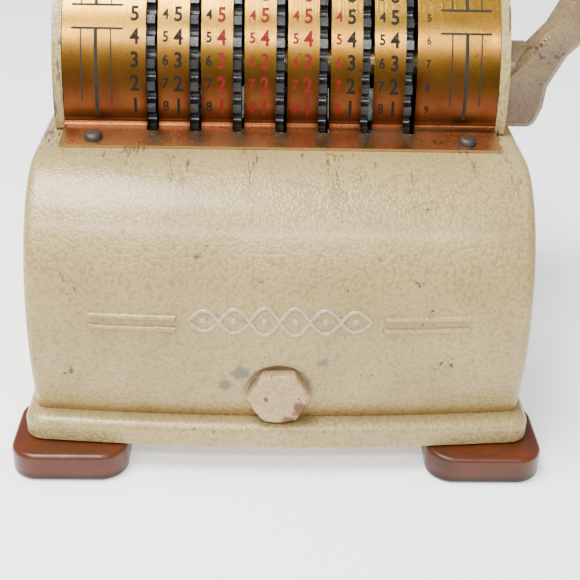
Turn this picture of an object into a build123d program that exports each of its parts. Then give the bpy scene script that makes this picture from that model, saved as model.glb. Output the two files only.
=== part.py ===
from build123d import *
from math import asin, cos, degrees, radians, sin, sqrt, tan
import os

os.makedirs("parts", exist_ok=True)

# Seven-column stylus adding machine. +X is the machine's right, -Y its front, +Z up.
# Sections are drawn about the wheel axis: u runs to the back, v runs up, both in mm.

# Driving dimensions, mm and degrees
column_pitch = 12.7
columns = 7
slot_width = 3.5
axle_height = 94.0
plate_radius = 43.0
plate_thick = 0.8
plate_margin = 26.1
plate_start = -6.2
plate_end = 85.5
flange_reach = 13.7
barrel_rim = 3.0
shoulder = 4.3
rim_step = 3.0
front_depth = 89.9
crown_radius = 720.0
belly_rise = 45.5
tuck_radius = 87.0
wall = 3.0
back_space = 7.0
hood_rise = 4.0
hood_corner = 22.0
rim_height = 7.8
foot_height = 9.1
foot_width = 34.0
foot_length = 30.0
foot_step = 3.7
axle_radius = 4.0
hub_radius = 6.0
running_gap = 0.05
tooth_count = 40
wheel_gap = 0.6
tooth_disc = 2.5
lever_out = 40.5
lever_top = 58.0
lever_half = 10.0
hex_flats = 16.0
hex_thick = 3.6
shank_radius = 1.4

# Places worked out from them
slots = [(k - (columns - 1) / 2) * column_pitch for k in range(columns)]
plate_half = slots[-1] + plate_margin
barrel_half = plate_half + barrel_rim
body_half = barrel_half + shoulder
rim_half = body_half + rim_step
foot_half = rim_half + foot_step
lever_reach = body_half + lever_out
rear_depth = plate_radius + back_space
hood_top = plate_radius + hood_rise
flange_front = plate_radius + flange_reach
shelf_drop = -flange_front * sin(radians(plate_start)) + plate_thick + 0.1
shelf_depth = flange_front + 0.3
rim_front = front_depth + 1.9
foot_front = rim_front + 8.2
foot_back = rear_depth + 6.0
cx = (foot_half - lever_reach) / 2
ay = (foot_front - foot_back) / 2
az = axle_height
body_bottom = foot_height + rim_height - az
rim_bottom = foot_height - az
crown = crown_radius - sqrt(crown_radius**2 - body_half**2)
rim_crown = crown * (rim_half / body_half) ** 2
wheel_radius = plate_radius - plate_thick - wheel_gap
cheek_inner = plate_half - 2.7
frame_x = cheek_inner - 9.5
frame_thick = 2.0
bail_x = cheek_inner - 3.9
bail_thick = 2.0
disc_left = -1.75
rim_left = 5.6 - column_pitch
lever_x = body_half + 0.8
lever_pocket = 12.0

side = Plane(origin=(cx, ay, az), x_dir=(0, 1, 0), z_dir=(1, 0, 0))
plan = Plane(origin=(cx, ay, az), x_dir=(1, 0, 0), z_dir=(0, 0, 1))
front = Plane(origin=(cx, ay, az), x_dir=(1, 0, 0), z_dir=(0, -1, 0))


def at(radius, angle):
    """Point of the side section at an angle above the horizontal front."""
    return (-radius * cos(radians(angle)), radius * sin(radians(angle)))


def crown_plane(angle):
    """Side plane turned about the far vertical axis of the crowned front."""
    turn = radians(angle)
    return Plane(
        origin=(cx, ay + crown_axis, az),
        x_dir=(-sin(turn), cos(turn), 0),
        z_dir=(cos(turn), sin(turn), 0),
    )


crown_axis = crown_radius - front_depth - crown
crown_line = Axis((cx, ay + crown_axis, 0), (0, 0, 1))
crown_turn = degrees(asin((body_half + 2) / (crown_radius - 60)))

# Casing: die-cast housing with a bulging front, a barrel for the dial and a rear hood
belly_low = -(shelf_drop + belly_rise)
belly_reach = front_depth - shelf_depth
shift = -crown_axis - crown
tuck = tuck_radius - sqrt(tuck_radius**2 - (belly_low - body_bottom) ** 2)
tuck_mid = tuck_radius - sqrt(tuck_radius**2 - ((belly_low - body_bottom) / 2) ** 2)
cut_radius = plate_radius - plate_thick - 0.05
hood_front = 84.0
barrel_radius = plate_radius + 0.4
bolt_z = body_bottom + 9.8
bolt_tuck = tuck_radius - sqrt(tuck_radius**2 - (belly_low - bolt_z) ** 2)
bolt_seat = front_depth + crown - bolt_tuck
boss_face = front_depth - wall - tuck - 1.4
bolt_radius = 4.0
screw_u = -(plate_radius + 8.7)
screw_x = plate_half - 9.4
screw_spots = [(-screw_x, 0), (screw_x, 0)]
flange_plane = Plane(
    origin=(cx, ay + screw_u, az - screw_u * tan(radians(plate_start))),
    x_dir=(1, 0, 0),
    z_dir=(0, sin(radians(plate_start)), cos(radians(plate_start))),
)
rib_points = [body_bottom + 34.5, body_bottom + 31.1]
rib_turn = 1.94
cover_low = body_bottom + 8
cover_top = 3.0
cover_mid = (cover_low + cover_top) / 2
cover_tall = cover_top - cover_low
cover_screws = [(x, v) for x in (-44.0, 44.0) for v in (cover_top - 4, cover_low + 4)]
with BuildPart() as casing:
    with BuildSketch(crown_plane(-crown_turn)):
        with BuildLine():
            l1 = Line((shift - 20, body_bottom), (shift - front_depth + tuck, body_bottom))
            l2 = ThreePointArc(
                l1 @ 1,
                (shift - front_depth + tuck_mid, (belly_low + body_bottom) / 2),
                (shift - front_depth, belly_low),
            )
            l3 = EllipticalCenterArc(
                (shift - shelf_depth, belly_low), belly_reach, belly_rise, 90, arc_size=90
            )
            l4 = Line((shift - shelf_depth, -shelf_drop), (shift - 20, -shelf_drop))
            l5 = Line(l4 @ 1, l1 @ 0)
        make_face()
    revolve(axis=crown_line, revolution_arc=2 * crown_turn)
    with BuildSketch(side):
        with Locations(((rear_depth - 30) / 2, (body_bottom - shelf_drop) / 2)):
            Rectangle(rear_depth + 30, -shelf_drop - body_bottom)
    extrude(amount=body_half + 5, both=True)
    with BuildSketch(plan):
        with Locations((0, -20)):
            Rectangle(2 * body_half, 300)
    extrude(amount=200, both=True, mode=Mode.INTERSECT)
    outline = casing.edges().filter_by(
        lambda e: abs(abs(e.center().X - cx) - body_half) < 0.01 and e.center().Z > az + body_bottom + 1
    )
    fillet(outline, min(3.5, wall))
    with BuildSketch(side):
        with BuildLine():
            b1 = ThreePointArc(at(barrel_radius, -8), at(barrel_radius, 38), at(barrel_radius, hood_front))
            b2 = Line(b1 @ 1, (-3.2, hood_top))
            b3 = Line(b2 @ 1, (rear_depth - hood_corner, hood_top))
            b4 = ThreePointArc(
                b3 @ 1,
                (
                    rear_depth - hood_corner * (1 - sqrt(0.5)),
                    hood_top - hood_corner * (1 - sqrt(0.5)),
                ),
                (rear_depth, hood_top - hood_corner),
            )
            b5 = Line(b4 @ 1, (rear_depth, -20))
            b6 = Line(b5 @ 1, (-30, -20))
            b7 = Line(b6 @ 1, b1 @ 0)
        make_face()
    extrude(amount=barrel_half, both=True)
    with BuildSketch(side):
        with BuildLine():
            c1 = Line(
                (rear_depth - wall, body_bottom - 1), (wall + tuck - front_depth, body_bottom - 1)
            )
            c2 = Line(c1 @ 1, (wall - front_depth + 0.2, belly_low))
            c3 = EllipticalCenterArc(
                (-shelf_depth, belly_low), belly_reach - wall - 0.2, belly_rise - wall, 90, arc_size=90
            )
            c4 = Line(c3 @ 0, (rear_depth - wall, -shelf_drop - wall))
            c5 = Line(c4 @ 1, c1 @ 0)
        make_face()
    extrude(amount=body_half - wall - 0.5, both=True, mode=Mode.SUBTRACT)
    with BuildSketch(side):
        Circle(cut_radius)
        with Locations(((rear_depth - wall - 2.5) / 2, (hood_top - 2.5 - 20) / 2)):
            Rectangle(rear_depth - wall + 2.5, hood_top - 2.5 + 20)
        with BuildLine():
            h1 = Line((rear_depth + 1, hood_top + 1), (rear_depth + 1, hood_top - hood_corner - 2.5))
            h2 = Line(h1 @ 1, (rear_depth - 2.5, hood_top - hood_corner))
            h3 = ThreePointArc(
                (rear_depth - wall, hood_top - hood_corner),
                (
                    rear_depth - hood_corner + (hood_corner - 2.75) * sqrt(0.5),
                    hood_top - hood_corner + (hood_corner - 2.75) * sqrt(0.5),
                ),
                (rear_depth - hood_corner, hood_top - 2.5),
            )
            h4 = Line(h2 @ 1, h3 @ 0)
            h5 = Line(h3 @ 1, (rear_depth - hood_corner, hood_top + 1))
            h6 = Line(h5 @ 1, h1 @ 0)
        make_face(mode=Mode.SUBTRACT)
    extrude(amount=cheek_inner, both=True, mode=Mode.SUBTRACT)
    with BuildSketch(side):
        with BuildLine():
            r1 = ThreePointArc(at(cut_radius, -10), at(cut_radius, 38), at(cut_radius, plate_end + 1.5))
            r2 = Line(r1 @ 1, at(barrel_radius + 0.1, plate_end + 1.5))
            r3 = ThreePointArc(
                r2 @ 1, at(barrel_radius + 0.1, 38), at(barrel_radius + 0.1, -10)
            )
            r4 = Line(r3 @ 1, r1 @ 0)
        make_face()
    extrude(amount=plate_half + 0.15, both=True, mode=Mode.SUBTRACT)
    with BuildSketch(plan.offset(hood_top - 4)):
        with Locations([(x + (rim_left + disc_left) / 2 - 0.2, 4.0) for x in slots]):
            RectangleRounded(-rim_left - 0.9, 7.0, 1.0)
    extrude(amount=8, mode=Mode.SUBTRACT)
    for v in rib_points:
        rib_u = -shelf_depth - belly_reach * sqrt(1 - ((v - belly_low) / belly_rise) ** 2)
        for turn in (-4.25, 4.25 - rib_turn):
            with BuildSketch(crown_plane(turn)):
                with Locations((shift + rib_u, v)):
                    Circle(0.9)
            revolve(axis=crown_line, revolution_arc=rib_turn)
    with BuildSketch(flange_plane.offset(-3.5)):
        with Locations(screw_spots):
            Circle(3.6)
    extrude(amount=-8)
    with BuildSketch(flange_plane):
        with Locations(screw_spots):
            Circle(shank_radius + running_gap)
    extrude(amount=-14, mode=Mode.SUBTRACT)
    with BuildSketch(front.offset(boss_face)):
        with Locations((0, bolt_z)):
            Circle(2 * bolt_radius)
    extrude(amount=tuck + 1.4)
    with BuildSketch(front.offset(bolt_seat)):
        with Locations((0, bolt_z)):
            Circle(hex_flats / 2 + 2.1)
    extrude(amount=8, mode=Mode.SUBTRACT)
    with BuildSketch(front.offset(boss_face - 1)):
        with Locations((0, bolt_z)):
            Circle(bolt_radius + running_gap)
    extrude(amount=bolt_seat - boss_face + 2, mode=Mode.SUBTRACT)
    with BuildSketch(side.offset(cheek_inner - 1)):
        Circle(hub_radius + running_gap)
    extrude(amount=10, mode=Mode.SUBTRACT)
    with BuildSketch(side.offset(barrel_half)):
        Circle(lever_pocket)
    extrude(amount=body_half, mode=Mode.SUBTRACT)
    with BuildSketch(front.offset(-rear_depth - 1)):
        with Locations((0, cover_mid)):
            RectangleRounded(80, cover_tall - 16, 3)
    extrude(amount=wall + 2, mode=Mode.SUBTRACT)
    with BuildSketch(front.offset(-rear_depth - 1)):
        with Locations(cover_screws):
            Circle(shank_radius + running_gap)
    extrude(amount=wall + 2, mode=Mode.SUBTRACT)
casing.part.label = "casing"
export_step(casing.part, "parts/casing.step")

# Dial plate: curved sheet with a slot per column and a flange bent outward at its foot
bend = 2.0
bend_angle = plate_start + degrees(asin(bend / (plate_radius + bend)))
bend_centre = Vector(*at(plate_radius + bend, bend_angle))
flange_run = sqrt((plate_radius + bend) ** 2 - bend**2)
flange_dir = Vector(*at(1, plate_start))
flange_down = Vector(flange_dir.Y, -flange_dir.X).normalized()
if flange_down.Y > 0:
    flange_down = flange_down * -1
bend_mid = (Vector(*at(-1, bend_angle)) + flange_down).normalized()
inner_radius = plate_radius - plate_thick
with BuildPart() as dial_plate:
    with BuildSketch(side):
        with BuildLine():
            p1 = ThreePointArc(at(plate_radius, plate_end), at(plate_radius, 38), at(plate_radius, bend_angle))
            p2 = ThreePointArc(p1 @ 1, bend_centre + bend_mid * bend, flange_dir * flange_run)
            p3 = Line(p2 @ 1, flange_dir * flange_front)
            p4 = Line(p3 @ 1, flange_dir * flange_front + flange_down * plate_thick)
            p5 = Line(p4 @ 1, flange_dir * flange_run + flange_down * plate_thick)
            p6 = ThreePointArc(
                p5 @ 1, bend_centre + bend_mid * (bend + plate_thick), at(inner_radius, bend_angle)
            )
            p7 = ThreePointArc(p6 @ 1, at(inner_radius, 38), at(inner_radius, plate_end))
            p8 = Line(p7 @ 1, p1 @ 0)
        make_face()
    extrude(amount=plate_half, both=True)
    for x in slots:
        with BuildSketch(side.offset(x)):
            with BuildLine():
                s1 = ThreePointArc(at(plate_radius - 2, -4), at(plate_radius - 2, 38), at(plate_radius - 2, 79))
                s2 = Line(s1 @ 1, at(plate_radius + 2, 79))
                s3 = ThreePointArc(s2 @ 1, at(plate_radius + 2, 38), at(plate_radius + 2, -4))
                s4 = Line(s3 @ 1, s1 @ 0)
            make_face()
            with Locations((-plate_radius - 0.2, -5)):
                Rectangle(5, 6)
        extrude(amount=slot_width / 2, both=True, mode=Mode.SUBTRACT)
        with BuildSketch(plan.offset(-9)):
            with Locations((x, -plate_radius - 2.6)):
                Circle(slot_width / 2)
        extrude(amount=8, mode=Mode.SUBTRACT)
    with BuildSketch(flange_plane):
        with Locations(screw_spots):
            Circle(1.6)
    extrude(amount=2, both=True, mode=Mode.SUBTRACT)
dial_plate.part.label = "dial_plate"
export_step(dial_plate.part, "parts/dial_plate.step")

# Plate screws: domed heads on the flange
with BuildPart() as plate_screws:
    with BuildSketch(flange_plane):
        with Locations(screw_spots):
            Circle(2.7)
    extrude(amount=1.7)
    fillet(plate_screws.edges().filter_by(GeomType.CIRCLE).group_by(Axis.Z)[-1], 1.4)
    with BuildSketch(flange_plane):
        with Locations(screw_spots):
            Circle(shank_radius)
    extrude(amount=-11)
plate_screws.part.label = "plate_screws"
export_step(plate_screws.part, "parts/plate_screws.step")

# Lens strip under the result windows
with BuildPart() as window_lens:
    with BuildSketch(side):
        with Locations((4.0, hood_top - 2.5 - 0.85)):
            Rectangle(12.5, 1.7)
    extrude(amount=slots[-1] + 14, both=True)
window_lens.part.label = "window_lens"
export_step(window_lens.part, "parts/window_lens.step")

# Rear cover and its screws
with BuildPart() as rear_cover:
    with BuildSketch(front.offset(-rear_depth - 1.2)):
        with Locations((0, cover_mid)):
            RectangleRounded(96, cover_tall, 4)
        with Locations(cover_screws):
            Circle(1.6, mode=Mode.SUBTRACT)
        with Locations([(x, cover_mid) for x in range(-24, 25, 8)]):
            SlotOverall(cover_tall * 0.36, 2.4, rotation=90, mode=Mode.SUBTRACT)
    extrude(amount=1.2)
rear_cover.part.label = "rear_cover"
export_step(rear_cover.part, "parts/rear_cover.step")

with BuildPart() as cover_screw_set:
    with BuildSketch(front.offset(-rear_depth - 1.2)):
        with Locations(cover_screws):
            Circle(2.6)
    extrude(amount=-1.5)
    fillet(cover_screw_set.edges().filter_by(GeomType.CIRCLE).group_by(Axis.Y)[-1], 1.2)
    with BuildSketch(front.offset(-rear_depth - 1.2)):
        with Locations(cover_screws):
            Circle(shank_radius)
    extrude(amount=5)
cover_screw_set.part.label = "rear_cover_screws"
export_step(cover_screw_set.part, "parts/rear_cover_screws.step")

# Base tray: plinth with a rounded upper bead that the casing stands on
foot_x = foot_half - foot_width / 2
front_foot_u = -foot_front + foot_length / 2
back_foot_u = foot_back - foot_length / 2
foot_places = {
    "front_left": (-foot_x, front_foot_u),
    "front_right": (foot_x, front_foot_u),
    "rear_left": (-foot_x, back_foot_u),
    "rear_right": (foot_x, back_foot_u),
}
foot_screw_places = [(0.86 * x, 0.93 * u) for x, u in foot_places.values()]
with BuildPart() as base_tray:
    with BuildSketch(plan.offset(rim_bottom)):
        with BuildLine():
            t1 = ThreePointArc((-rim_half, -rim_front), (0, -rim_front - rim_crown), (rim_half, -rim_front))
            t2 = Line(t1 @ 1, (rim_half, rear_depth + 2.5))
            t3 = Line(t2 @ 1, (-rim_half, rear_depth + 2.5))
            t4 = Line(t3 @ 1, t1 @ 0)
        make_face()
        fillet(vertices(), 6)
    extrude(amount=rim_height)
    fillet(base_tray.faces().sort_by(Axis.Z)[-1].edges(), 3.0)
    chamfer(base_tray.faces().sort_by(Axis.Z)[0].edges(), 0.8)
    with BuildSketch(plan.offset(rim_bottom + 2)):
        with Locations((0, (rear_depth - front_depth) / 2)):
            RectangleRounded(2 * body_half - 10, rear_depth + front_depth - 10, 4)
    extrude(amount=rim_height, mode=Mode.SUBTRACT)
    with BuildSketch(plan.offset(rim_bottom)):
        with Locations(foot_screw_places):
            Circle(1.55)
    extrude(amount=3, mode=Mode.SUBTRACT)
base_tray.part.label = "base_tray"
export_step(base_tray.part, "parts/base_tray.step")

# Feet: moulded blocks with a screw well underneath
for name, place in foot_places.items():
    well = (0.86 * place[0], 0.93 * place[1])
    with BuildPart() as foot:
        with BuildSketch(plan.offset(-az)):
            with Locations(place):
                RectangleRounded(foot_width, foot_length, 8)
        extrude(amount=foot_height)
        fillet(foot.faces().sort_by(Axis.Z)[0].edges(), 1.5)
        fillet(foot.faces().sort_by(Axis.Z)[-1].edges(), 1.5)
        with BuildSketch(plan.offset(-az)):
            with Locations(well):
                Circle(4)
        extrude(amount=foot_height - 4, mode=Mode.SUBTRACT)
        with BuildSketch(plan.offset(-az)):
            with Locations(well):
                Circle(1.55)
        extrude(amount=foot_height, mode=Mode.SUBTRACT)
    foot.part.label = "foot_" + name
    export_step(foot.part, "parts/foot_" + name + ".step")

with BuildPart() as foot_screws:
    with BuildSketch(plan.offset(rim_bottom - 4)):
        with Locations(foot_screw_places):
            Circle(3)
    extrude(amount=-1.8)
    with BuildSketch(plan.offset(rim_bottom - 4)):
        with Locations(foot_screw_places):
            Circle(1.45)
    extrude(amount=8)
foot_screws.part.label = "foot_screws"
export_step(foot_screws.part, "parts/foot_screws.step")

# Case bolt through the front wall, with its nut inside
with BuildPart() as case_bolt:
    with BuildSketch(front.offset(bolt_seat)):
        with Locations((0, bolt_z)):
            RegularPolygon(hex_flats / 2, 6, major_radius=False, rotation=2.4)
    extrude(amount=hex_thick)
    with BuildSketch(front.offset(bolt_seat + hex_thick)):
        with Locations((0, bolt_z)):
            Circle(hex_flats / 2 - 0.3)
    extrude(amount=-hex_thick, taper=-50, mode=Mode.INTERSECT)
    with BuildSketch(front.offset(bolt_seat)):
        with Locations((0, bolt_z)):
            Circle(bolt_radius)
    extrude(amount=boss_face - bolt_seat - 4)
case_bolt.part.label = "case_bolt"
export_step(case_bolt.part, "parts/case_bolt.step")

with BuildPart() as bolt_nut:
    with BuildSketch(front.offset(boss_face)):
        with Locations((0, bolt_z)):
            RegularPolygon(6.5, 6, major_radius=False)
            Circle(bolt_radius + running_gap, mode=Mode.SUBTRACT)
    extrude(amount=-5)
bolt_nut.part.label = "bolt_nut"
export_step(bolt_nut.part, "parts/bolt_nut.step")

# Side frames carrying the wheel axle, the carry shaft and the tie rods
rod_ring = wheel_radius + 2.8
tie_rods_at = [at(rod_ring, 144.2), at(rod_ring, 177.4)]
carry_at = at(wheel_radius + 7.9, -136.6)
frame_outline = [
    (0, 15),
    at(wheel_radius + 4.4, 137.6),
    at(wheel_radius + 9.2, 147.9),
    at(wheel_radius + 5.2, 172.6),
    at(wheel_radius + 5.0, -175.1),
    at(wheel_radius + 14.3, -137.2),
    at(wheel_radius + 8.5, -129.7),
    (6, -13.7),
]
rod_radius = 2.0
for name, x in (("left", -frame_x - frame_thick), ("right", frame_x)):
    with BuildPart() as side_frame:
        with BuildSketch(side.offset(x)):
            Circle(15)
            with BuildLine():
                Polyline(*frame_outline, close=True)
            make_face()
            Circle(axle_radius + 0.02, mode=Mode.SUBTRACT)
            with Locations(*tie_rods_at, carry_at):
                Circle(rod_radius + 0.02, mode=Mode.SUBTRACT)
        extrude(amount=frame_thick)
    side_frame.part.label = "side_frame_" + name
    export_step(side_frame.part, "parts/side_frame_" + name + ".step")

with BuildPart() as tie_rods:
    with BuildSketch(side):
        with Locations(tie_rods_at):
            Circle(rod_radius)
    extrude(amount=cheek_inner, both=True)
tie_rods.part.label = "tie_rods"
export_step(tie_rods.part, "parts/tie_rods.step")

with BuildPart() as carry_shaft:
    with BuildSketch(side):
        with Locations(carry_at):
            Circle(rod_radius)
    extrude(amount=frame_x + frame_thick + 1, both=True)
carry_shaft.part.label = "carry_shaft"
export_step(carry_shaft.part, "parts/carry_shaft.step")

axle_right = frame_x + frame_thick + 3.2
with BuildPart() as main_axle:
    with BuildSketch(side.offset(-cheek_inner)):
        Circle(axle_radius)
    extrude(amount=cheek_inner + axle_right)
main_axle.part.label = "main_axle"
export_step(main_axle.part, "parts/main_axle.step")

with BuildPart() as axle_nuts:
    for x in (-frame_x - frame_thick - 3, frame_x + frame_thick):
        with BuildSketch(side.offset(x)):
            RegularPolygon(6.5, 6, major_radius=False)
            Circle(axle_radius + 0.02, mode=Mode.SUBTRACT)
        extrude(amount=3)
axle_nuts.part.label = "axle_nuts"
export_step(axle_nuts.part, "parts/axle_nuts.step")

# Number wheels: hooked tooth disc, numeral rim on its left and a hub on the axle
gap_radius = 2.05
for k, x in enumerate(slots, start=1):
    with BuildPart() as number_wheel:
        with BuildSketch(side.offset(x + disc_left)):
            Circle(wheel_radius)
            with PolarLocations(wheel_radius - 0.7, tooth_count, start_angle=4.5):
                Circle(gap_radius, mode=Mode.SUBTRACT)
        extrude(amount=tooth_disc)
        with BuildSketch(side.offset(x + rim_left)):
            Circle(wheel_radius - 0.9)
            Circle(wheel_radius - 3.4, mode=Mode.SUBTRACT)
            Circle(24)
        extrude(amount=disc_left - rim_left + 0.2)
        with BuildSketch(side.offset(x + rim_left)):
            Circle(axle_radius + running_gap)
        extrude(amount=12, mode=Mode.SUBTRACT)
    number_wheel.part.label = f"number_wheel_{k}"
    export_step(number_wheel.part, f"parts/number_wheel_{k}.step")

with BuildPart() as wheel_spacers:
    starts = [-frame_x] + [x + disc_left + tooth_disc + 0.1 for x in slots]
    ends = [x + rim_left - 0.1 for x in slots] + [frame_x]
    for low, high in zip(starts, ends):
        with BuildSketch(side.offset(low)):
            Circle(7)
            Circle(axle_radius + 0.02, mode=Mode.SUBTRACT)
        extrude(amount=high - low)
wheel_spacers.part.label = "wheel_spacers"
export_step(wheel_spacers.part, "parts/wheel_spacers.step")

# Detent comb: spring fingers that rest over the wheel teeth
finger_v = 13.2
finger_thick = 0.8
finger_tip = sqrt((wheel_radius + 0.5) ** 2 - (finger_v - finger_thick / 2) ** 2)
comb_u = rear_depth - wall - 2
with BuildPart() as detent_comb:
    with BuildSketch(side):
        with Locations((comb_u, 13)):
            Rectangle(4, 6)
    extrude(amount=slots[-1] + 8, both=True)
    for x in slots:
        with BuildSketch(side.offset(x - 1.5)):
            with Locations(((finger_tip + comb_u) / 2, finger_v)):
                Rectangle(comb_u - finger_tip, finger_thick)
        extrude(amount=2)
detent_comb.part.label = "detent_comb"
export_step(detent_comb.part, "parts/detent_comb.step")

# Carry levers between neighbouring wheels: nose towards the teeth, tail up the back
carry_u, carry_v = carry_at
carry_nose = [
    (carry_u - 3.0, carry_v - 3.5),
    at(wheel_radius + 1.8, -135.9),
    at(wheel_radius + 3.5, -138.9),
    (carry_u + 3.5, carry_v + 2.5),
]
carry_tail = [
    (carry_u - 1.5, carry_v + 3.0),
    (carry_u + 4.2, carry_v + 16.0),
    (carry_u + 6.8, carry_v + 16.0),
    (carry_u + 4.3, carry_v + 1.0),
]
for k, x in enumerate(slots[:-1], start=1):
    with BuildPart() as carry_lever:
        with BuildSketch(side.offset(x + 1.4)):
            with Locations(carry_at):
                Circle(4.5)
            with BuildLine():
                Polyline(*carry_nose, close=True)
            make_face()
            with BuildLine():
                Polyline(*carry_tail, close=True)
            make_face()
            with Locations(carry_at):
                Circle(rod_radius + running_gap, mode=Mode.SUBTRACT)
        extrude(amount=2.4)
    carry_lever.part.label = f"carry_lever_{k}"
    export_step(carry_lever.part, f"parts/carry_lever_{k}.step")

# Clearing bail: a bar below the wheels carried by two arms on the lever's axis
bail_radius = wheel_radius + 5.2
bail_rod = 1.75
bail_spot = at(bail_radius, -45)
with BuildPart() as clearing_bail:
    with BuildSketch(side):
        with Locations(bail_spot):
            Circle(bail_rod)
    extrude(amount=bail_x + bail_thick, both=True)
    for x, bore in ((-bail_x - bail_thick, axle_radius + running_gap), (bail_x, hub_radius)):
        with BuildSketch(side.offset(x)):
            Circle(10)
            with Locations(bail_spot):
                Circle(3.6)
            with Locations(at(bail_radius / 2, -45)):
                Rectangle(bail_radius, 6.5, rotation=45)
            Circle(bore, mode=Mode.SUBTRACT)
        extrude(amount=bail_thick)
clearing_bail.part.label = "clearing_bail"
export_step(clearing_bail.part, "parts/clearing_bail.step")

# Lever hub: shaft through the right cheek that joins the lever to the bail
hub_end = lever_x + 8.0
with BuildPart() as lever_hub:
    with BuildSketch(side.offset(bail_x)):
        Circle(hub_radius)
    extrude(amount=hub_end - bail_x)
lever_hub.part.label = "lever_hub"
export_step(lever_hub.part, "parts/lever_hub.step")

# Clearing lever: a cast plate in front of its axis, with a boss on the hub, an arm that
# leans outward and an upright grip
lever_outline = [
    (lever_x, -17.0),
    (lever_x + 12.0, -17.0),
    (lever_x + 14.6, -10.3),
    (lever_x + 15.2, -3.0),
    (lever_x + 20.3, 7.3),
    (lever_x + 25.0, 12.0),
    (lever_reach, 33.0),
    (lever_reach, lever_top),
    (lever_reach - 13, lever_top),
    (lever_reach - 13, 40.0),
    (lever_x + 18.3, 25.1),
    (lever_x + 13.9, 16.2),
    (lever_x + 7.2, 8.5),
    (lever_x, 0.5),
]
with BuildPart() as lever:
    with BuildSketch(front):
        with BuildLine():
            Polyline(*lever_outline, close=True)
        make_face()
        fillet(vertices().filter_by(lambda p: p.Z - az > lever_top - 1), 5.5)
        fillet(vertices().filter_by(lambda p: abs(p.X - cx - lever_x - 12.0) < 0.01), 4.0)
        fillet(vertices().filter_by(lambda p: p.X - cx - lever_x > 13 and p.Z - az < lever_top - 12), 3.5)
    extrude(amount=lever_half)
    outer = lever.faces().sort_by(Axis.Y)[0].edges().filter_by(
        lambda e: e.center().X - cx > lever_x + 13 and e.center().Z - az < 35
    )
    chamfer(outer, 1.8)
    with BuildSketch(side.offset(lever_x)):
        Circle(lever_half - 0.5)
    extrude(amount=hub_end - lever_x)
    with BuildSketch(side.offset(lever_x)):
        Circle(hub_radius)
    extrude(amount=hub_end - lever_x, mode=Mode.SUBTRACT)
lever.part.label = "lever"
export_step(lever.part, "parts/lever.step")

# Return spring wound round the hub between cheek and lever
spring_x = barrel_half + 0.8
with BuildPart() as lever_spring:
    with BuildLine() as coil:
        Helix(pitch=1.3, height=2.6, radius=7.6, center=(cx + spring_x, ay, az), direction=(1, 0, 0))
    with BuildSketch(Plane(origin=coil.line @ 0, z_dir=coil.line % 0)):
        Circle(0.45)
    sweep()
lever_spring.part.label = "lever_spring"
export_step(lever_spring.part, "parts/lever_spring.step")
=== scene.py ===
from math import cos, degrees, pi, radians, sin

import bmesh
import bpy
from mathutils import Matrix, Vector
from mathutils.bvhtree import BVHTree


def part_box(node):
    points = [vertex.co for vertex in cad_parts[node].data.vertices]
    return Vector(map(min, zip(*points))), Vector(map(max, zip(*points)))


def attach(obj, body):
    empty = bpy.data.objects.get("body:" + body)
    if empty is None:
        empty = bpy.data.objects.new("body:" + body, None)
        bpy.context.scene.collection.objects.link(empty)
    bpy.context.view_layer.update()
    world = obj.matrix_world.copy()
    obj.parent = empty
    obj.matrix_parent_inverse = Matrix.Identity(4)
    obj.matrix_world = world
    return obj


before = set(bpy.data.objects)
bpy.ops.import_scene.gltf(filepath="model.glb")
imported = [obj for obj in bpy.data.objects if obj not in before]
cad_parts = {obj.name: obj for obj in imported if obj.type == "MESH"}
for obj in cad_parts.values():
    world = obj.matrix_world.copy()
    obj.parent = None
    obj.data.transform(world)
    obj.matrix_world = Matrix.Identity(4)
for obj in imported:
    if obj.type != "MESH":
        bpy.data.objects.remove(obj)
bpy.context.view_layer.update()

# The wheel axle: a plain steel rod across the machine, on which every wheel and the
# lever turn. The dial plate, the windows and the lever are all set out from its line.
# The plate is an arc about it, which ends plate_end degrees above the level.
axle_low, axle_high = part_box("main_axle")
axle_y = (axle_low.y + axle_high.y) / 2
axle_z = (axle_low.z + axle_high.z) / 2
plate_low, plate_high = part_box("dial_plate")
middle_x = (plate_low.x + plate_high.x) / 2
plate_end = 85.5
plate_radius = (plate_high.z - axle_z) / sin(radians(plate_end))


def new_material(name, colour, roughness, metallic=0.0):
    """A node material with its Principled shader, and object coordinates ready to use."""
    material = bpy.data.materials.new(name)
    material.use_nodes = True
    nodes = material.node_tree.nodes
    shader = nodes["Principled BSDF"]
    shader.inputs["Base Color"].default_value = (*colour, 1)
    shader.inputs["Roughness"].default_value = roughness
    shader.inputs["Metallic"].default_value = metallic
    place = nodes.new("ShaderNodeTexCoord")
    place.name = "place"
    return material


def join(material, source, output, target, socket):
    """Links two nodes of a material, given as nodes."""
    material.node_tree.links.new(source.outputs[output], target.inputs[socket])


def shader_group(name, ins, outs):
    """An empty shader node group with named value, colour and vector sockets."""
    group = bpy.data.node_groups.new(name, "ShaderNodeTree")
    kinds = {"value": "NodeSocketFloat", "colour": "NodeSocketColor", "vector": "NodeSocketVector"}
    for label, kind in ins:
        group.interface.new_socket(label, in_out="INPUT", socket_type=kinds[kind])
    for label, kind in outs:
        group.interface.new_socket(label, in_out="OUTPUT", socket_type=kinds[kind])
    group.nodes.new("NodeGroupInput").name = "in"
    group.nodes.new("NodeGroupOutput").name = "out"
    return group


def use_group(material, group, **values):
    """Places a shader group in a material, fed with object coordinates."""
    node = material.node_tree.nodes.new("ShaderNodeGroup")
    node.node_tree = group
    join(material, material.node_tree.nodes["place"], "Object", node, "Place")
    for label, value in values.items():
        node.inputs[label.replace("_", " ")].default_value = value
    return node


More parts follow.
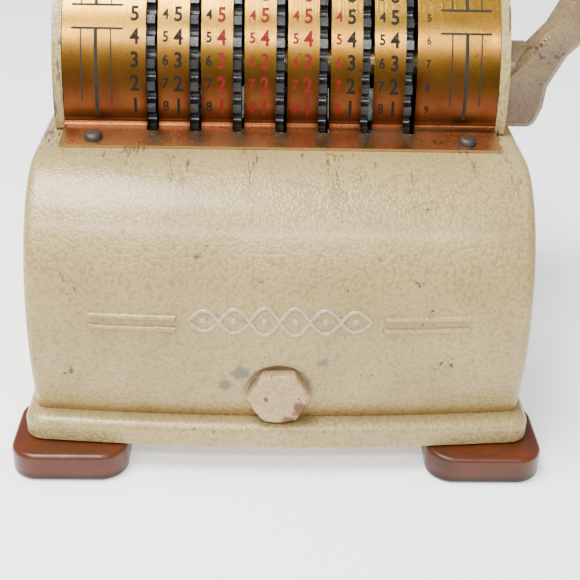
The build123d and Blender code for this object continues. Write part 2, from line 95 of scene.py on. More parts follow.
def make_mottle():
    """Soft colour drift and dust: two colours mixed by broad noise, with a roughness to go with it."""
    group = shader_group(
        "mottle",
        [("Place", "vector"), ("Scale", "value"), ("Clean", "colour"), ("Soiled", "colour"),
         ("Soil", "value"), ("Low roughness", "value"), ("High roughness", "value")],
        [("Colour", "colour"), ("Roughness", "value")],
    )
    nodes, links = group.nodes, group.links
    broad = nodes.new("ShaderNodeTexNoise")
    broad.inputs["Detail"].default_value = 6
    broad.inputs["Roughness"].default_value = 0.62
    links.new(nodes["in"].outputs["Place"], broad.inputs["Vector"])
    links.new(nodes["in"].outputs["Scale"], broad.inputs["Scale"])
    spread = nodes.new("ShaderNodeMapRange")
    spread.inputs["From Min"].default_value = 0.38
    spread.inputs["From Max"].default_value = 0.72
    links.new(broad.outputs["Fac"], spread.inputs["Value"])
    share = nodes.new("ShaderNodeMath")
    share.operation = "MULTIPLY"
    links.new(spread.outputs["Result"], share.inputs[0])
    links.new(nodes["in"].outputs["Soil"], share.inputs[1])
    mix = nodes.new("ShaderNodeMix")
    mix.data_type = "RGBA"
    links.new(share.outputs["Value"], mix.inputs["Factor"])
    links.new(nodes["in"].outputs["Clean"], mix.inputs[6])
    links.new(nodes["in"].outputs["Soiled"], mix.inputs[7])
    links.new(mix.outputs[2], nodes["out"].inputs["Colour"])
    rough = nodes.new("ShaderNodeMapRange")
    links.new(spread.outputs["Result"], rough.inputs["Value"])
    links.new(nodes["in"].outputs["Low roughness"], rough.inputs["To Min"])
    links.new(nodes["in"].outputs["High roughness"], rough.inputs["To Max"])
    links.new(rough.outputs["Result"], nodes["out"].inputs["Roughness"])
    return group


def make_grain():
    """Fine surface height from stretched noise: turning marks, brushing or moulding texture."""
    group = shader_group(
        "grain", [("Place", "vector"), ("Stretch", "vector"), ("Depth", "value")], [("Height", "value")]
    )
    nodes, links = group.nodes, group.links
    scale = nodes.new("ShaderNodeVectorMath")
    scale.operation = "MULTIPLY"
    links.new(nodes["in"].outputs["Place"], scale.inputs[0])
    links.new(nodes["in"].outputs["Stretch"], scale.inputs[1])
    noise = nodes.new("ShaderNodeTexNoise")
    noise.inputs["Scale"].default_value = 1
    noise.inputs["Detail"].default_value = 4
    links.new(scale.outputs["Vector"], noise.inputs["Vector"])
    depth = nodes.new("ShaderNodeMath")
    depth.operation = "MULTIPLY"
    links.new(noise.outputs["Fac"], depth.inputs[0])
    links.new(nodes["in"].outputs["Depth"], depth.inputs[1])
    links.new(depth.outputs["Value"], nodes["out"].inputs["Height"])
    return group


mottle = make_mottle()
grain = make_grain()


def finish_surface(material, stretch, depth, soil, clean, soiled, roughness, scale=60, strength=0.4):
    """Gives a material its mottled colour, its roughness and its grain."""
    nodes = material.node_tree.nodes
    shader = nodes["Principled BSDF"]
    colour = use_group(material, mottle, Scale=scale, Clean=(*clean, 1), Soiled=(*soiled, 1), Soil=soil,
                       Low_roughness=roughness[0], High_roughness=roughness[1])
    join(material, colour, "Colour", shader, "Base Color")
    join(material, colour, "Roughness", shader, "Roughness")
    fine = use_group(material, grain, Stretch=stretch, Depth=depth)
    bump = nodes.new("ShaderNodeBump")
    bump.name = "relief"
    bump.inputs["Strength"].default_value = strength
    bump.inputs["Distance"].default_value = 0.001
    join(material, fine, "Height", bump, "Height")
    join(material, bump, "Normal", shader, "Normal")
    return material


def paint_node(name, material):
    """Puts one material on a CAD node."""
    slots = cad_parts[name].data.materials
    slots.clear()
    slots.append(material)


# The steelwork: the axle and its nuts, the side frames, rods, shaft, comb, hub, bail,
# spring and carry levers, turned, drawn, coiled or stamped from steel and left bare.
plain_steel = new_material("plain_steel", (0.42, 0.42, 0.41), 0.35, 1.0)
finish_surface(plain_steel, (2500, 300, 300), 0.12, 0.5, (0.46, 0.46, 0.45), (0.22, 0.18, 0.14),
               (0.28, 0.5))
steel_nodes = ("main_axle", "axle_nuts", "side_frame_left", "side_frame_right", "tie_rods", "carry_shaft",
               "detent_comb", "bolt_nut", "lever_hub", "clearing_bail", "lever_spring")
for name in steel_nodes:
    paint_node(name, plain_steel)
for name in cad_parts:
    if name.startswith("carry_lever"):
        paint_node(name, plain_steel)

# The spacers: brass sleeves turned from rod and slid on the axle between the wheels,
# which they keep in line with their slots.
turned_brass = new_material("turned_brass", (0.65, 0.45, 0.2), 0.35, 1.0)
finish_surface(turned_brass, (3000, 200, 200), 0.1, 0.5, (0.7, 0.5, 0.24), (0.4, 0.25, 0.1),
               (0.25, 0.45))
paint_node("wheel_spacers", turned_brass)

# The casing, the tray under it and the back panel: die-cast metal sprayed with a
# hammer-finish enamel, which dries into shallow pebbles over a slightly uneven colour.
def make_hammer_finish():
    """Pebbled enamel: rounded cells that meet in narrow, slightly darker valleys."""
    group = shader_group(
        "hammer_finish",
        [("Place", "vector"), ("Cells", "value"), ("Depth", "value")],
        [("Height", "value"), ("Valley", "value")],
    )
    nodes, links = group.nodes, group.links
    drift = nodes.new("ShaderNodeTexNoise")
    drift.inputs["Scale"].default_value = 420
    drift.inputs["Detail"].default_value = 2
    links.new(nodes["in"].outputs["Place"], drift.inputs["Vector"])
    shift = nodes.new("ShaderNodeVectorMath")
    shift.operation = "MULTIPLY_ADD"
    shift.inputs[1].default_value = (0.0012, 0.0012, 0.0012)
    links.new(drift.outputs["Color"], shift.inputs[0])
    links.new(nodes["in"].outputs["Place"], shift.inputs[2])
    cells = nodes.new("ShaderNodeTexVoronoi")
    cells.feature = "SMOOTH_F1"
    cells.inputs["Smoothness"].default_value = 0.6
    links.new(shift.outputs["Vector"], cells.inputs["Vector"])
    links.new(nodes["in"].outputs["Cells"], cells.inputs["Scale"])
    dome = nodes.new("ShaderNodeMapRange")
    dome.inputs["From Min"].default_value = 0.05
    dome.inputs["From Max"].default_value = 0.6
    dome.inputs["To Min"].default_value = 1
    dome.inputs["To Max"].default_value = 0
    links.new(cells.outputs["Distance"], dome.inputs["Value"])
    depth = nodes.new("ShaderNodeMath")
    depth.operation = "MULTIPLY"
    links.new(dome.outputs["Result"], depth.inputs[0])
    links.new(nodes["in"].outputs["Depth"], depth.inputs[1])
    links.new(depth.outputs["Value"], nodes["out"].inputs["Height"])
    valley = nodes.new("ShaderNodeMapRange")
    valley.inputs["From Min"].default_value = 0.45
    valley.inputs["From Max"].default_value = 0.7
    links.new(cells.outputs["Distance"], valley.inputs["Value"])
    links.new(valley.outputs["Result"], nodes["out"].inputs["Valley"])
    return group


hammer_finish = make_hammer_finish()


def make_specks():
    """Small ragged spots, gathered where a broad noise is high: chips, rust and stains."""
    group = shader_group(
        "specks",
        [("Place", "vector"), ("Grain", "value"), ("Spread", "value"), ("Threshold", "value")],
        [("Mask", "value")],
    )
    nodes, links = group.nodes, group.links
    fine = nodes.new("ShaderNodeTexNoise")
    fine.inputs["Detail"].default_value = 5
    fine.inputs["Roughness"].default_value = 0.68
    broad = nodes.new("ShaderNodeTexNoise")
    broad.inputs["Detail"].default_value = 2
    for noise, size in ((fine, "Grain"), (broad, "Spread")):
        links.new(nodes["in"].outputs["Place"], noise.inputs["Vector"])
        links.new(nodes["in"].outputs[size], noise.inputs["Scale"])
    both = nodes.new("ShaderNodeMath")
    both.operation = "MULTIPLY"
    links.new(fine.outputs["Fac"], both.inputs[0])
    links.new(broad.outputs["Fac"], both.inputs[1])
    edge = nodes.new("ShaderNodeMapRange")
    links.new(both.outputs["Value"], edge.inputs["Value"])
    links.new(nodes["in"].outputs["Threshold"], edge.inputs["From Min"])
    above = nodes.new("ShaderNodeMath")
    above.inputs[1].default_value = 0.02
    links.new(nodes["in"].outputs["Threshold"], above.inputs[0])
    links.new(above.outputs["Value"], edge.inputs["From Max"])
    links.new(edge.outputs["Result"], nodes["out"].inputs["Mask"])
    return group


specks = make_specks()


def make_band():
    """One above the upper height, nought below the lower one, along Z, with a ragged edge."""
    group = shader_group(
        "band",
        [("Place", "vector"), ("Low", "value"), ("High", "value"), ("Ragged", "value")],
        [("Mask", "value")],
    )
    nodes, links = group.nodes, group.links
    split = nodes.new("ShaderNodeSeparateXYZ")
    links.new(nodes["in"].outputs["Place"], split.inputs["Vector"])
    noise = nodes.new("ShaderNodeTexNoise")
    noise.inputs["Scale"].default_value = 160
    noise.inputs["Detail"].default_value = 4
    links.new(nodes["in"].outputs["Place"], noise.inputs["Vector"])
    drift = nodes.new("ShaderNodeMath")
    drift.operation = "MULTIPLY_ADD"
    links.new(noise.outputs["Fac"], drift.inputs[0])
    links.new(nodes["in"].outputs["Ragged"], drift.inputs[1])
    links.new(split.outputs["Z"], drift.inputs[2])
    ramp = nodes.new("ShaderNodeMapRange")
    ramp.interpolation_type = "SMOOTHSTEP"
    links.new(drift.outputs["Value"], ramp.inputs["Value"])
    links.new(nodes["in"].outputs["Low"], ramp.inputs["From Min"])
    links.new(nodes["in"].outputs["High"], ramp.inputs["From Max"])
    links.new(ramp.outputs["Result"], nodes["out"].inputs["Mask"])
    return group


band = make_band()


def make_near():
    """One round a point, falling to nought at its reach, with a ragged edge; depth counts for less."""
    group = shader_group(
        "near",
        [("Place", "vector"), ("Centre", "vector"), ("Reach", "value"), ("Ragged", "value")],
        [("Mask", "value")],
    )
    nodes, links = group.nodes, group.links
    offset = nodes.new("ShaderNodeVectorMath")
    offset.operation = "SUBTRACT"
    links.new(nodes["in"].outputs["Place"], offset.inputs[0])
    links.new(nodes["in"].outputs["Centre"], offset.inputs[1])
    flat = nodes.new("ShaderNodeVectorMath")
    flat.operation = "MULTIPLY"
    flat.inputs[1].default_value = (1, 0.35, 1)
    links.new(offset.outputs["Vector"], flat.inputs[0])
    distance = nodes.new("ShaderNodeVectorMath")
    distance.operation = "LENGTH"
    links.new(flat.outputs["Vector"], distance.inputs[0])
    noise = nodes.new("ShaderNodeTexNoise")
    noise.inputs["Scale"].default_value = 520
    noise.inputs["Detail"].default_value = 4
    links.new(nodes["in"].outputs["Place"], noise.inputs["Vector"])
    ragged = nodes.new("ShaderNodeMath")
    ragged.operation = "MULTIPLY_ADD"
    links.new(noise.outputs["Fac"], ragged.inputs[0])
    links.new(nodes["in"].outputs["Ragged"], ragged.inputs[1])
    links.new(distance.outputs["Value"], ragged.inputs[2])
    fall = nodes.new("ShaderNodeMapRange")
    fall.interpolation_type = "SMOOTHSTEP"
    fall.inputs["To Min"].default_value = 1
    fall.inputs["To Max"].default_value = 0
    links.new(ragged.outputs["Value"], fall.inputs["Value"])
    inner = nodes.new("ShaderNodeMath")
    inner.operation = "MULTIPLY"
    inner.inputs[1].default_value = 0.7
    links.new(nodes["in"].outputs["Reach"], inner.inputs[0])
    links.new(inner.outputs["Value"], fall.inputs["From Min"])
    links.new(nodes["in"].outputs["Reach"], fall.inputs["From Max"])
    links.new(fall.outputs["Result"], nodes["out"].inputs["Mask"])
    return group


near = make_near()


def overlay(material, under, output, mask, mask_output, colour, blend="MIX"):
    """Mixes a colour over a node's colour where the mask is one."""
    mix = material.node_tree.nodes.new("ShaderNodeMix")
    mix.data_type = "RGBA"
    mix.blend_type = blend
    mix.inputs[7].default_value = (*colour, 1)
    material.node_tree.links.new(under.outputs[output], mix.inputs[6])
    join(material, mask, mask_output, mix, "Factor")
    return mix


casing_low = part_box("casing")[0]
bolt_low, bolt_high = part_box("case_bolt")
bolt_height = (bolt_low.z + bolt_high.z) / 2 - axle_z
bolt_face = bolt_low.y


def make_case_paint(name, clean, soiled, soil, chips, chip_colour, foot=-1.0, spots=(), scuffed=False):
    """Hammer-finish enamel: its cleanliness, its chips, a foot darker along its lowest few millimetres and
    spots of its own.

    A spot is its place across and up, its reach, its raggedness and its colour.
    """
    material = new_material(name, clean, 0.38)
    nodes = material.node_tree.nodes
    shader = nodes["Principled BSDF"]
    shader.inputs["Metallic"].default_value = 0.12
    shader.inputs["Specular IOR Level"].default_value = 0.35
    shader.inputs["Coat Weight"].default_value = 0.2
    shader.inputs["Coat Roughness"].default_value = 0.18
    tone = use_group(material, mottle, Scale=30, Clean=(*clean, 1), Soiled=(*soiled, 1), Soil=soil,
                     Low_roughness=0.34, High_roughness=0.5)
    pebbles = use_group(material, hammer_finish, Cells=1000, Depth=0.45)
    mix = overlay(material, tone, "Colour", pebbles, "Valley", (0.79, 0.76, 0.69), "MULTIPLY")
    # Darker along the lowest 4 mm of the piece, where the casing meets the tray.
    foot_darkening = use_group(material, band, Low=foot + 0.004, High=foot, Ragged=-0.002)
    mix = overlay(material, mix, 2, foot_darkening, "Mask", (0.74, 0.62, 0.45), "MULTIPLY")
    for across, height, reach, ragged, colour in spots:
        centre = (middle_x + across, bolt_face, axle_z + height)
        spot = use_group(material, near, Centre=centre, Reach=reach, Ragged=ragged)
        mix = overlay(material, mix, 2, spot, "Mask", colour)
    if scuffed:
        drawn = nodes.new("ShaderNodeMapping")
        drawn.inputs["Scale"].default_value = (1.6, 0.22, 0.22)
        join(material, nodes["place"], "Object", drawn, "Vector")
        scratches = use_group(material, specks, Grain=900, Spread=110, Threshold=0.335)
        join(material, drawn, "Vector", scratches, "Place")
        upper = use_group(material, band, Low=axle_z - 0.022, High=axle_z - 0.008, Ragged=-0.008)
        drawn_upper = nodes.new("ShaderNodeMath")
        drawn_upper.operation = "MULTIPLY"
        join(material, scratches, "Mask", drawn_upper, 0)
        join(material, upper, "Mask", drawn_upper, 1)
        mix = overlay(material, mix, 2, drawn_upper, "Value", chip_colour)
    bare = use_group(material, specks, Grain=620, Spread=95, Threshold=chips)
    mix = overlay(material, mix, 2, bare, "Mask", chip_colour)
    material.node_tree.links.new(mix.outputs[2], shader.inputs["Base Color"])
    join(material, tone, "Roughness", shader, "Roughness")
    bump = nodes.new("ShaderNodeBump")
    bump.inputs["Strength"].default_value = 0.28
    bump.inputs["Distance"].default_value = 0.001
    join(material, pebbles, "Height", bump, "Height")
    join(material, bump, "Normal", shader, "Normal")
    return material


khaki, dusty_khaki, chip_brown = (0.365, 0.274, 0.112), (0.235, 0.168, 0.064), (0.07, 0.048, 0.028)
bare_metal, bolt_dirt_and_shade = (0.12, 0.11, 0.065), (0.13, 0.085, 0.036)
casing_spots = (
    # The first spot darkens the casing round the bolt: partly grime, partly painted shade round the bolt
    # head. The others are bare metal where the paint is worn through.
    (0, bolt_height + 0.0006, 0.0135, 0.004, bolt_dirt_and_shade),
    (-0.0112, bolt_height + 0.0072, 0.0052, 0.0036, bare_metal),
    (-0.0152, bolt_height + 0.0026, 0.0048, 0.0036, bare_metal),
    (0.0124, bolt_height + 0.0112, 0.004, 0.0036, bare_metal),
)
case_paint = make_case_paint(
    "case_paint", khaki, dusty_khaki, 0.6, 0.41, chip_brown, casing_low.z, casing_spots, scuffed=True
)
paint_node("casing", case_paint)
plain_paint = make_case_paint("plain_paint", khaki, dusty_khaki, 0.6, 0.425, chip_brown)
for name in ("base_tray", "rear_cover"):
    paint_node(name, plain_paint)

# The ornament: two interlaced cords with a boss in each eye, cast in relief on the front
# of the casing between its ribs and painted with it, paler where the paint is thin.
ornament_half, ornament_rise, ornament_turns = 0.0255, 0.0042, 3
ornament_z = axle_z - 0.0432
cord_radius, cord_steps, cord_taper = 0.0006, 96, 0.35
boss_radius, boss_flatness = 0.0011, 0.6
ray_start = 0.05
casing_shape = bmesh.new()
casing_shape.from_mesh(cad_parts["casing"].data)
casing_skin = BVHTree.FromBMesh(casing_shape)
casing_shape.free()


def on_front(x, z):
    """Point of the casing's front face straight behind a place in front of it."""
    start = Vector((middle_x + x, casing_low.y - ray_start, z))
    return casing_skin.ray_cast(start, Vector((0, 1, 0)))[0]


def add_piece(name, shape, material, body):
    """Makes a piece of a finished bmesh and lets it ride on a body."""
    mesh = bpy.data.meshes.new(name)
    shape.to_mesh(mesh)
    shape.free()
    mesh.materials.append(material)
    piece = bpy.data.objects.new(name, mesh)
    bpy.context.scene.collection.objects.link(piece)
    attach(piece, body)
    return piece


ornament_paint = make_case_paint(
    "ornament_paint", (0.44, 0.35, 0.2), (0.3, 0.26, 0.17), 0.8, 0.34, (0.3, 0.29, 0.24)
)


def mesh_of(curve):
    """Mesh of a curve or of lettering, taken once and then thrown away as an object."""
    holder = bpy.data.objects.new("holder", curve)
    bpy.context.scene.collection.objects.link(holder)
    holder_now = holder.evaluated_get(bpy.context.evaluated_depsgraph_get())
    mesh = bpy.data.meshes.new_from_object(holder_now)
    bpy.data.objects.remove(holder)
    return mesh


ornament = bmesh.new()
cords = bpy.data.curves.new("cords", "CURVE")
cords.dimensions = "3D"
cords.bevel_depth = cord_radius
cords.bevel_resolution = 2
cords.use_fill_caps = True
for side in (-1, 1):
    cord = cords.splines.new("POLY")
    cord.points.add(cord_steps)
    for step, point in enumerate(cord.points):
        share = 2 * step / cord_steps - 1
        wave = side * ornament_rise * sin(share * ornament_turns * pi) * (1 - cord_taper * abs(share))
        point.co = (*on_front(share * ornament_half, ornament_z + wave), 1)
ornament.from_mesh(mesh_of(cords))
for eye in range(2 * ornament_turns):
    share = (eye + 0.5) / ornament_turns - 1
    flatten = Matrix.Diagonal((1, boss_flatness, 1, 1))
    spot = Matrix.Translation(on_front(share * ornament_half, ornament_z)) @ flatten
    bmesh.ops.create_uvsphere(ornament, u_segments=20, v_segments=12, radius=boss_radius, matrix=spot)
add_piece("front_ornament", ornament, ornament_paint, "housing")

# The bolt that holds the casing to its frame: a hexagon head, painted over with the
# casing and since then chipped and rusted where a spanner has turned it.
rust = (0.115, 0.034, 0.01)
bolt_spots = (
    (0.0064, bolt_height - 0.0038, 0.0055, 0.0045, rust),
    (0.003, bolt_height - 0.0076, 0.0045, 0.0036, rust),
    (-0.0036, bolt_height - 0.0002, 0.0025, 0.0026, rust),
)
bolt_paint = make_case_paint(
    "bolt_paint", (0.4, 0.28, 0.14), (0.27, 0.18, 0.08), 0.7, 0.33, (0.05, 0.022, 0.01), spots=bolt_spots
)
paint_node("case_bolt", bolt_paint)

# The feet: blocks moulded in a glossy reddish brown compound and screwed up into the
# tray, darkened along the lower edge as painted shade where they meet the table.
foot_brown = new_material("foot_brown", (0.12, 0.025, 0.014), 0.3)
foot_shader = foot_brown.node_tree.nodes["Principled BSDF"]
foot_shader.inputs["Specular IOR Level"].default_value = 0.3
foot_colour = use_group(foot_brown, mottle, Scale=70, Clean=(0.085, 0.02, 0.006, 1),
                        Soiled=(0.03, 0.008, 0.003, 1), Soil=0.8, Low_roughness=0.22, High_roughness=0.42)
# Painted shade: the lowest 3 mm of each foot darkened where it meets the table.
foot_painted_shade = use_group(foot_brown, band, Low=0.003, High=0.0008, Ragged=-0.001)
foot_mix = overlay(foot_brown, foot_colour, "Colour", foot_painted_shade, "Mask", (0.3, 0.25, 0.25), "MULTIPLY")
foot_brown.node_tree.links.new(foot_mix.outputs[2], foot_shader.inputs["Base Color"])
join(foot_brown, foot_colour, "Roughness", foot_shader, "Roughness")
foot_relief = foot_brown.node_tree.nodes.new("ShaderNodeBump")
foot_relief.inputs["Strength"].default_value = 0.12
foot_relief.inputs["Distance"].default_value = 0.001
foot_grain = use_group(foot_brown, grain, Stretch=(160, 900, 900), Depth=0.3)
join(foot_brown, foot_grain, "Height", foot_relief, "Height")
join(foot_brown, foot_relief, "Normal", foot_shader, "Normal")
for name in ("foot_front_left", "foot_front_right", "foot_rear_left", "foot_rear_right"):
    paint_node(name, foot_brown)

# The dial plate: sheet brass bent round the wheels, brushed up and down and lacquered,
# and browned by hands and air, most of all round the slots' lower ends. It is darker
# towards its foot, partly from that browning and partly as a painted darker reflection.
# Its slots and its digits stand one column pitch apart; a digit takes one step of angle.
column_pitch, columns = 0.0127, 7
column_places = [(column - (columns - 1) / 2) * column_pitch for column in range(columns)]
first_angle, digit_step = 1.5, 9.0


def make_slot_halo():
    """One on the line of a slot and falling to nought a little way to each side of it."""
    group = shader_group("slot_halo", [("Place", "vector"), ("Width", "value")], [("Mask", "value")])
    nodes, links = group.nodes, group.links
    split = nodes.new("ShaderNodeSeparateXYZ")
    links.new(nodes["in"].outputs["Place"], split.inputs["Vector"])
    centred = nodes.new("ShaderNodeMath")
    centred.operation = "SUBTRACT"
    centred.inputs[1].default_value = middle_x
    links.new(split.outputs["X"], centred.inputs[0])
    span = nodes.new("ShaderNodeMath")
    span.operation = "ABSOLUTE"
    links.new(centred.outputs["Value"], span.inputs[0])
    among = nodes.new("ShaderNodeMath")
    among.operation = "LESS_THAN"
    among.inputs[1].default_value = column_places[-1] + column_pitch / 2
    links.new(span.outputs["Value"], among.inputs[0])
    fold = nodes.new("ShaderNodeMath")
    fold.operation = "PINGPONG"
    fold.inputs[1].default_value = column_pitch / 2
    links.new(centred.outputs["Value"], fold.inputs[0])
    fall = nodes.new("ShaderNodeMapRange")
    fall.interpolation_type = "SMOOTHSTEP"
    fall.inputs["From Min"].default_value = 0.001
    fall.inputs["To Min"].default_value = 1
    fall.inputs["To Max"].default_value = 0
    links.new(fold.outputs["Value"], fall.inputs["Value"])
    links.new(nodes["in"].outputs["Width"], fall.inputs["From Max"])
    inside = nodes.new("ShaderNodeMath")
    inside.operation = "MULTIPLY"
    links.new(fall.outputs["Result"], inside.inputs[0])
    links.new(among.outputs["Value"], inside.inputs[1])
    links.new(inside.outputs["Value"], nodes["out"].inputs["Mask"])
    return group


slot_halo = make_slot_halo()
dial_brass = new_material("dial_brass", (0.75, 0.5, 0.2), 0.3, 1.0)
dial_nodes = dial_brass.node_tree.nodes
dial_shader = dial_nodes["Principled BSDF"]
dial_colour = use_group(dial_brass, mottle, Scale=60, Clean=(0.44, 0.235, 0.025, 1),
                        Soiled=(0.27, 0.112, 0.02, 1), Soil=0.8, Low_roughness=0.22, High_roughness=0.36)
# Darker towards the foot of the plate: partly tarnish, partly a painted darker reflection.
dial_tarnish_and_reflection = use_group(dial_brass, band, Low=axle_z + 0.024, High=axle_z - 0.002, Ragged=-0.008)
dial_mix = overlay(dial_brass, dial_colour, "Colour", dial_tarnish_and_reflection, "Mask", (0.27, 0.15, 0.4), "MULTIPLY")
dial_halo = use_group(dial_brass, slot_halo, Width=0.0042)
dial_low = use_group(dial_brass, band, Low=axle_z + 0.009, High=axle_z - 0.004, Ragged=-0.01)
dial_both = dial_nodes.new("ShaderNodeMath")
dial_both.operation = "MULTIPLY"
join(dial_brass, dial_halo, "Mask", dial_both, 0)
join(dial_brass, dial_low, "Mask", dial_both, 1)
dial_mix = overlay(dial_brass, dial_mix, 2, dial_both, "Value", (0.3, 0.2, 0.14), "MULTIPLY")
flange_top = use_group(dial_brass, band, Low=axle_z - 0.0045, High=axle_z - 0.0052, Ragged=0)
dial_mix = overlay(dial_brass, dial_mix, 2, flange_top, "Mask", (0.5, 0.33, 0.17))
dial_spots = use_group(dial_brass, specks, Grain=900, Spread=90, Threshold=0.4)
dial_mix = overlay(dial_brass, dial_mix, 2, dial_spots, "Mask", (0.1, 0.045, 0.018))
dial_brass.node_tree.links.new(dial_mix.outputs[2], dial_shader.inputs["Base Color"])
join(dial_brass, dial_colour, "Roughness", dial_shader, "Roughness")
dial_relief = dial_nodes.new("ShaderNodeBump")
dial_relief.inputs["Strength"].default_value = 0.13
dial_relief.inputs["Distance"].default_value = 0.001
dial_grain = use_group(dial_brass, grain, Stretch=(4600, 45, 45), Depth=0.5)
join(dial_brass, dial_grain, "Height", dial_relief, "Height")
join(dial_brass, dial_relief, "Normal", dial_shader, "Normal")
paint_node("dial_plate", dial_brass)

# The dial's digits: printed in black and red enamel beside the slots, a large one on the
# left of each tooth and its small complement on the right, to nine, or to ten in the last
# column. The ink stands out a little from the brass and its underside is sunk in it.
digit_height, small_height, last_height = 0.0047, 0.0032, 0.0024
digit_narrow, letter_extrude, letter_weight, digit_bands = 0.86, 0.1, 0.026, 6
ink_thickness, ink_sink = 0.00005, 0.00003
digit_left, small_right, last_right = -0.005, 0.004, 0.005


def make_digit(character, height, narrow):
    """Mesh of one digit as a thin solid, centred, its foot towards -Y and its face up."""
    letter = bpy.data.curves.new("digit", "FONT")
    letter.body = character
    letter.resolution_u = 3
    letter.extrude = letter_extrude
    letter.offset = letter_weight
    shape = bmesh.new()
    shape.from_mesh(mesh_of(letter))
    xs = [vert.co.x for vert in shape.verts]
    ys = [vert.co.y for vert in shape.verts]
    tall = height / (max(ys) - min(ys))
    centre = Vector(((max(xs) + min(xs)) / 2, (max(ys) + min(ys)) / 2, 0))
    bmesh.ops.translate(shape, verts=shape.verts, vec=-centre)
    thick = (ink_thickness + ink_sink) / (2 * letter_extrude)
    bmesh.ops.scale(shape, verts=shape.verts, vec=(tall * narrow, tall, thick))
    bmesh.ops.translate(shape, verts=shape.verts, vec=(0, 0, (ink_thickness - ink_sink) / 2))
    for cut in range(1, digit_bands):
        level = (cut / digit_bands - 0.5) * height
        geometry = shape.verts[:] + shape.edges[:] + shape.faces[:]
        bmesh.ops.bisect_plane(shape, geom=geometry, dist=1e-7, plane_co=(0, level, 0), plane_no=(0, 1, 0))
    mesh = bpy.data.meshes.new("digit")
    shape.to_mesh(mesh)
    shape.free()
    return mesh


def roll(shape, verts, x, angle, radius):
    """Carries flat work onto a cylinder about the axle: Y runs up round it and Z stands out from it."""
    for vert in verts:
        turned = radians(angle) + vert.co.y / radius
        reach = radius + vert.co.z
        vert.co = (middle_x + x + vert.co.x, axle_y - reach * cos(turned), axle_z + reach * sin(turned))


def stamp(shape, mesh, x, angle, radius):
    """Adds a digit to a bmesh at a place across the machine and an angle round the cylinder."""
    known = len(shape.verts)
    shape.from_mesh(mesh)
    shape.verts.ensure_lookup_table()
    roll(shape, shape.verts[known:], x, angle, radius)


def make_ink(name, colour):
    """Enamel ink, a little uneven and worn."""
    ink = new_material(name, colour, 0.6)
    ink.node_tree.nodes["Principled BSDF"].inputs["Specular IOR Level"].default_value = 0.12
    return finish_surface(ink, (900, 900, 900), 0.1, 0.6, colour, [1.3 * share + 0.006 for share in colour],
                          (0.5, 0.7), 400, 0.2)


black_ink = make_ink("black_ink", (0.008, 0.006, 0.004))
red_ink = make_ink("red_ink", (0.14, 0.005, 0.004))
large_digits = [make_digit(str(digit), digit_height, digit_narrow) for digit in range(10)]
small_digits = [make_digit(str(digit), small_height, digit_narrow) for digit in range(10)]
last_digits = [make_digit(str(digit), last_height, digit_narrow) for digit in range(10)]
for name, ink, chosen in (("black_digits", black_ink, (0, 1, 5, 6)), ("red_digits", red_ink, (2, 3, 4))):
    print_shape = bmesh.new()
    for column in chosen:
        last = column == columns - 1
        for digit in range(1, 10):
            angle = first_angle + digit_step * (digit - 1)
            stamp(print_shape, large_digits[digit], column_places[column] + digit_left, angle, plate_radius)
            if last:
                small, right = last_digits[10 - digit], last_right
            else:
                small, right = small_digits[9 - digit], small_right
            stamp(print_shape, small, column_places[column] + right, angle, plate_radius)
    add_piece(name, print_shape, ink, "housing")

# The rules at each side of the dial: two cross bars, with three uprights below the lower
# one and three above the upper one, printed on the brass in dark enamel.
rule_ink = make_ink("rule_ink", (0.016, 0.016, 0.014))
bar_angles, bar_from, bar_to, bar_width = (31.3, 40.8), 0.0465, 0.0615, 0.0006
uprights = ((0.0500, 0.0004, 3.0), (0.0544, 0.001, -2.4), (0.0587, 0.0004, 3.0))
upright_top = 79.0
rule_span = 2


def rule(shape, x_low, x_high, angle_low, angle_high):
    """A thin strip on the dial between two places across and two angles."""
    spans = max(1, round((angle_high - angle_low) / rule_span))
    known = len(shape.verts)
    bmesh.ops.create_grid(shape, x_segments=1, y_segments=spans, size=0.5)
    shape.verts.ensure_lookup_table()
    flat = shape.verts[known:]
    middle = (angle_low + angle_high) / 2
    tall = plate_radius * radians(angle_high - angle_low)
    bmesh.ops.scale(shape, verts=flat, vec=(x_high - x_low, tall, 1))
    bmesh.ops.translate(shape, verts=flat, vec=(0, 0, ink_thickness))
    roll(shape, flat, (x_low + x_high) / 2, middle, plate_radius)


rules = bmesh.new()
for side in (-1, 1):
    for bar_angle in bar_angles:
        half = degrees(bar_width / plate_radius) / 2
        ends = sorted((side * bar_from, side * bar_to))
        rule(rules, *ends, bar_angle - half, bar_angle + half)
    for place, width, foot in uprights:
        for low, high in ((foot, bar_angles[0]), (bar_angles[1], upright_top)):
            rule(rules, side * place - width / 2, side * place + width / 2, low, high)
bmesh.ops.recalc_face_normals(rules, faces=rules.faces)
bmesh.ops.solidify(rules, geom=rules.faces[:], thickness=ink_thickness + ink_sink)
add_piece("dial_rules", rules, rule_ink, "housing")

# The screws: round-headed steel screws, blackened against rust, which hold the dial
# plate's flange, the back panel and the feet.
black_screw = new_material("black_screw", (0.055, 0.048, 0.038), 0.5, 0.7)
finish_surface(black_screw, (900, 900, 900), 0.4, 0.7, (0.055, 0.048, 0.038), (0.06, 0.035, 0.02),
               (0.45, 0.65))
for name in ("plate_screws", "rear_cover_screws", "foot_screws"):
    paint_node(name, black_screw)

# The window strip: one strip of clear celluloid, cut from sheet and laid under the hood
# behind the seven result windows.
window_clear = new_material("window_clear", (0.95, 0.94, 0.9), 0.08)
window_shader = window_clear.node_tree.nodes["Principled BSDF"]
window_shader.inputs["Transmission Weight"].default_value = 1.0
window_shader.inputs["IOR"].default_value = 1.45
paint_node("window_lens", window_clear)

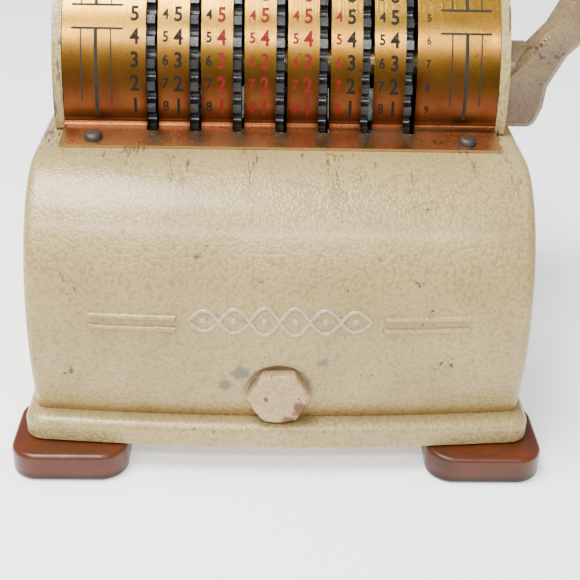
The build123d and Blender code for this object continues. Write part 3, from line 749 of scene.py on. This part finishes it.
# The number wheels: wheels moulded in black plastic, with a rounded gap for the stylus at
# every digit. Each carries the figures that show in its window, filled with white.
wheel_black = new_material("wheel_black", (0.012, 0.012, 0.012), 0.28)
finish_surface(wheel_black, (1500, 1500, 1500), 0.15, 0.6, (0.012, 0.012, 0.012), (0.03, 0.028, 0.025),
               (0.18, 0.36))
white_fill = make_ink("white_fill", (0.72, 0.68, 0.58))
figure_height, figure_narrow, rim_depth = 0.0045, 0.8, 0.0023
rim_digits = [make_digit(str(digit), figure_height, figure_narrow) for digit in range(10)]
rim_radius = plate_radius - rim_depth
window_angle, rim_middle = 95.6, -0.0045
figure_count = round(360 / digit_step)
for column, place in enumerate(column_places):
    wheel = f"number_wheel_{column + 1}"
    paint_node(wheel, wheel_black)
    figures = bmesh.new()
    for figure in range(figure_count):
        angle = window_angle + digit_step * figure
        stamp(figures, rim_digits[figure % 10], place + rim_middle, angle, rim_radius)
    add_piece(f"wheel_figures_{column + 1}", figures, white_fill, wheel)

# The lever: one casting, painted a duller taupe than the casing and fixed on its hub at
# the end of the axle, its paint chipped and browned all over by handling.
lever_paint = make_case_paint(
    "lever_paint", (0.24, 0.165, 0.085), (0.085, 0.045, 0.018), 1.0, 0.35, (0.06, 0.03, 0.015)
)
paint_node("lever", lever_paint)

# The floor and the light: a level pale floor under a pale sky, with a long narrow light
# high in front for the dial and a broad one nearly overhead.
floor_half = 30
floor_mesh = bpy.data.meshes.new("floor")
floor_shape = bmesh.new()
bmesh.ops.create_grid(floor_shape, x_segments=1, y_segments=1, size=floor_half)
floor_shape.to_mesh(floor_mesh)
floor_shape.free()
floor = bpy.data.objects.new("floor", floor_mesh)
bpy.context.scene.collection.objects.link(floor)
floor_paper = new_material("floor_paper", (0.9, 0.9, 0.885), 0.8)
floor_shader = floor_paper.node_tree.nodes["Principled BSDF"]
floor_shader.inputs["Emission Color"].default_value = (1, 1, 0.985, 1)
floor_shader.inputs["Emission Strength"].default_value = 0.6
floor_mesh.materials.append(floor_paper)

world = bpy.data.worlds.new("studio")
world.use_nodes = True
sky = world.node_tree.nodes["Background"]
sky.inputs["Color"].default_value = (0.93, 0.95, 1.0, 1)
sky.inputs["Strength"].default_value = 0.62
bpy.context.scene.world = world


def soft_light(name, place, aim, wide, tall, power):
    """An oblong area light aimed at a point."""
    lamp = bpy.data.lights.new(name, "AREA")
    lamp.shape = "RECTANGLE"
    lamp.size, lamp.size_y = wide, tall
    lamp.energy = power
    light = bpy.data.objects.new(name, lamp)
    light.location = place
    light.rotation_euler = (Vector(aim) - Vector(place)).to_track_quat("-Z", "Y").to_euler()
    bpy.context.scene.collection.objects.link(light)


soft_light("dial_light", (-0.1, -0.68, 0.7), (0, 0, 0.1), 0.9, 0.06, 8)
soft_light("top_light", (-0.3, -0.16, 0.95), (0, -0.05, 0.05), 0.6, 0.35, 24)

# The camera: a full-frame camera with a short telephoto lens, held in front of the
# machine and above it, looking down at the dial and turned a little off square.
look_right, look_down, roll_left = 1.61, 29.38, 1.42
camera_data = bpy.data.cameras.new("camera")
camera_data.sensor_width = 36
camera_data.lens = 68.9
camera = bpy.data.objects.new("camera", camera_data)
camera.location = (middle_x - 0.0049, axle_y - 0.3564, axle_z + 0.1156)
turn = Matrix.Rotation(radians(-look_right), 4, "Z") @ Matrix.Rotation(radians(90 - look_down), 4, "X")
camera.rotation_euler = (turn @ Matrix.Rotation(radians(roll_left), 4, "Z")).to_euler()
bpy.context.scene.collection.objects.link(camera)
bpy.context.scene.camera = camera
